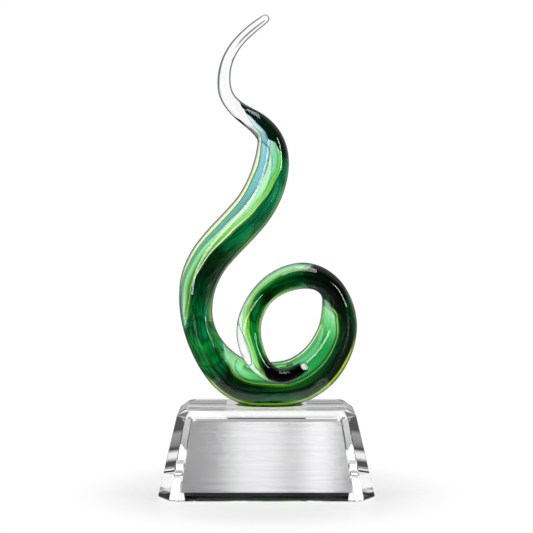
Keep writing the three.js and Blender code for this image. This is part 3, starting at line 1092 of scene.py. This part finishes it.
# Lamps: name, place, turn in degrees, width and height, and power in watts
LAMPS = [
    ("left_box", (-1.1, -0.7, 0.6), (72, 0, -58), (0.3, 1.0), 8.0),
    ("right_box", (1.1, -0.6, 0.55), (72, 0, 62), (0.25, 0.9), 7.0),
    ("front_box", (-0.016, -1.5, 0.3), (80, 0, 0), (0.09, 0.56), 0.174),
    ("side_strip", (0.082, -1.5, 0.3), (80, 0, 0), (0.05, 0.56), 0.134),
    ("low_strip", (0.0, -1.7, 0.3), (82, 0, 0), (0.5, 0.06), 0.365),
    ("left_fill", (-1.0, -1.2, 0.3), (84, 0, -40), (1.2, 1.2), 3.2),
    ("right_fill", (1.0, -1.2, 0.3), (84, 0, 40), (1.2, 1.2), 3.2),
    ("top_box", (0.0, 0.15, 1.2), (0, 0, 0), (0.9, 0.7), 8.0),
]

# Lamps that are shaded from everything but the plate
PLATE_LAMPS = ("front_box", "side_strip", "low_strip", "left_fill", "right_fill")

# Bounces that light needs to pass all the layers of glass
LIGHT_BOUNCES = 40
BOUNCE_LIMITS = ("max_bounces", "transmission_bounces", "transparent_max_bounces", "min_light_bounces")

SENSOR_WIDTH = 36


def dark_bands_tone(n, axes, onwards, dark_bands):
    """A white tone with dark bands, alike on the left and on the right: painted shade on the floor, dim light
    in the world.
    """
    sideways = n.add("ShaderNodeMath", operation="ABSOLUTE")
    n.wire(axes, "X", sideways, 0)
    tone = None
    for (first, last), tones in dark_bands:
        ramp = colour_ramp(n, tones)
        n.wire(axes, onwards, ramp, "Fac")
        inside = n.add("ShaderNodeMath", operation="COMPARE")
        inside.inputs[1].default_value = (first + last) / 2
        inside.inputs[2].default_value = (last - first) / 2
        n.wire(sideways, "Value", inside, 0)
        dark_band = blended(n, inside.outputs["Value"], (1, 1, 1), ramp.outputs["Color"])
        tone = multiplied(n, tone, dark_band) if tone else dark_band
    return tone


def pale_floor(colour):
    """White away from the object, shaded close to it, and with bands of painted shade where it is seen
    through glass.
    """
    n = Nodes("pale floor")
    path = n.add("ShaderNodeLightPath")
    coordinates = n.add("ShaderNodeTexCoord")
    axes = n.add("ShaderNodeSeparateXYZ")
    n.wire(coordinates, "Object", axes, "Vector")
    # Painted shade: dark bands that the glass shows on the floor behind the base
    dark_bands = dark_bands_tone(n, axes, "Y", PAINTED_FLOOR_SHADE)
    glow = n.add("ShaderNodeEmission")
    n.link(blended(n, path.outputs["Is Transmission Ray"], (1, 1, 1), dark_bands), glow.inputs["Color"])
    distance = n.add("ShaderNodeVectorMath", operation="LENGTH")
    far = n.add(
        "ShaderNodeMapRange", interpolation_type="SMOOTHSTEP",
        From_Min=WHITE_FROM, From_Max=WHITE_TO, To_Min=NEAR_WHITE)
    n.wire(coordinates, "Object", distance, 0)
    n.wire(distance, "Value", far, "Value")
    straight = n.add("ShaderNodeMath", operation="MULTIPLY")
    n.wire(path, "Is Camera Ray", straight, 0)
    n.wire(far, "Result", straight, 1)
    white = n.add("ShaderNodeMath", operation="MAXIMUM")
    n.wire(straight, "Value", white, 0)
    n.wire(path, "Is Transmission Ray", white, 1)
    paint = n.add("ShaderNodeBsdfPrincipled", Roughness=FLOOR_ROUGHNESS)
    n.link(blended(n, path.outputs["Is Glossy Ray"], colour, FLOOR_IN_GLOSS), paint.inputs["Base Color"])
    mix = n.add("ShaderNodeMixShader")
    n.wire(white, "Value", mix, "Fac")
    n.wire(paint, "BSDF", mix, 1)
    n.wire(glow, "Emission", mix, 2)
    n.link(mix.outputs["Shader"], n.output.inputs["Surface"])
    return n.material


def studio_world():
    """White seen straight, white with dark cards seen through glass, and otherwise dim."""
    world = bpy.data.worlds.new("studio")
    world.use_nodes = True
    n = Nodes(tree=world.node_tree)
    output = n.add("ShaderNodeOutputWorld")
    light = n.add("ShaderNodeBackground", Color=(1, 1, 1, 1))
    path = n.add("ShaderNodeLightPath")
    coordinates = n.add("ShaderNodeTexCoord")
    axes = n.add("ShaderNodeSeparateXYZ")
    n.wire(coordinates, "Generated", axes, "Vector")
    dark_bands = dark_bands_tone(n, axes, "Z", WORLD_CARDS)
    dim = n.add(
        "ShaderNodeMapRange", interpolation_type="SMOOTHSTEP",
        From_Min=0.0, From_Max=DIM_FULL, To_Min=DIM_FRONT, To_Max=DIM_BACK)
    n.wire(axes, "Y", dim, "Value")
    through = n.add("ShaderNodeMix")
    n.wire(path, "Is Transmission Ray", through, "Factor")
    n.wire(dim, "Result", through, "A")
    n.link(dark_bands, through.inputs["B"])
    straight = n.add("ShaderNodeMix")
    n.wire(path, "Is Camera Ray", straight, "Factor")
    n.wire(through, "Result", straight, "A")
    straight.inputs["B"].default_value = 1.0
    n.wire(straight, "Result", light, "Strength")
    n.wire(light, "Background", output, "Surface")
    return world


def hang_lamps():
    """Soft lamps round the object, some of which light the plate alone."""
    lit_plate = bpy.data.collections.new("lit plate")
    lit_plate.objects.link(bpy.data.objects["brushed_plate"])
    for name, place, turn, size, power in LAMPS:
        bpy.ops.object.light_add(type="AREA", location=place, rotation=[math.radians(a) for a in turn])
        lamp = bpy.context.object
        lamp.name = name
        lamp.data.shape = "RECTANGLE"
        lamp.data.size, lamp.data.size_y = size
        lamp.data.energy = power
        lamp.visible_transmission = False
        if name in PLATE_LAMPS:
            lamp.light_linking.receiver_collection = lit_plate


class AWARD_OT_stage(bpy.types.Operator):
    """Sets the floor, the studio light and the camera"""
    bl_idname = "award.build_stage"
    bl_label = "Stage"

    def execute(self, context):
        scene, settings = context.scene, context.scene.award_stage
        deselect()
        bpy.ops.mesh.primitive_plane_add(size=FLOOR_SIDE, location=(0, 0, -FLOOR_DROP))
        floor = context.object
        floor.name = "floor"
        bpy.ops.object.transform_apply(location=True, rotation=False, scale=False)
        floor.data.materials.append(pale_floor(settings.floor_colour))
        scene.world = studio_world()
        hang_lamps()
        bpy.ops.object.camera_add(
            location=(0, -settings.camera_distance, settings.camera_height),
            rotation=(math.radians(90) - settings.camera_pitch, 0, 0))
        camera = context.object
        camera.data.lens = settings.lens
        camera.data.sensor_width = SENSOR_WIDTH
        camera.data.dof.use_dof = False
        scene.camera = camera
        scene.view_settings.view_transform = "Standard"
        for limit in BOUNCE_LIMITS:
            setattr(scene.cycles, limit, LIGHT_BOUNCES)
        return {"FINISHED"}


class AWARD_PT_pieces(bpy.types.Panel):
    """Lists the award's pieces"""
    bl_idname = "AWARD_PT_pieces"
    bl_label = "Art glass award"
    bl_space_type = "VIEW_3D"
    bl_region_type = "UI"
    bl_category = "Award"

    def draw(self, context):
        for operator in OPERATORS:
            self.layout.operator(operator.bl_idname)


GROUPS = {
    "award_swirl": AwardSwirl,
    "award_colours": AwardColours,
    "award_base": AwardBase,
    "award_stage": AwardStage,
}
OPERATORS = (AWARD_OT_base, AWARD_OT_plate, AWARD_OT_bond, AWARD_OT_swirl, AWARD_OT_colours, AWARD_OT_stage)


def register():
    for item in (*GROUPS.values(), *OPERATORS, AWARD_PT_pieces):
        bpy.utils.register_class(item)
    for name, group in GROUPS.items():
        setattr(bpy.types.Scene, name, bpy.props.PointerProperty(type=group))


def unregister():
    for name in GROUPS:
        delattr(bpy.types.Scene, name)
    for item in reversed((*GROUPS.values(), *OPERATORS, AWARD_PT_pieces)):
        bpy.utils.unregister_class(item)


def main():
    register()
    bpy.ops.award.build_base()
    bpy.ops.award.build_plate()
    bpy.ops.award.build_bond()
    bpy.ops.award.build_swirl()
    bpy.ops.award.build_colours()
    bpy.ops.award.build_stage()
    bpy.context.view_layer.update()


if __name__ == "__main__":
    main()
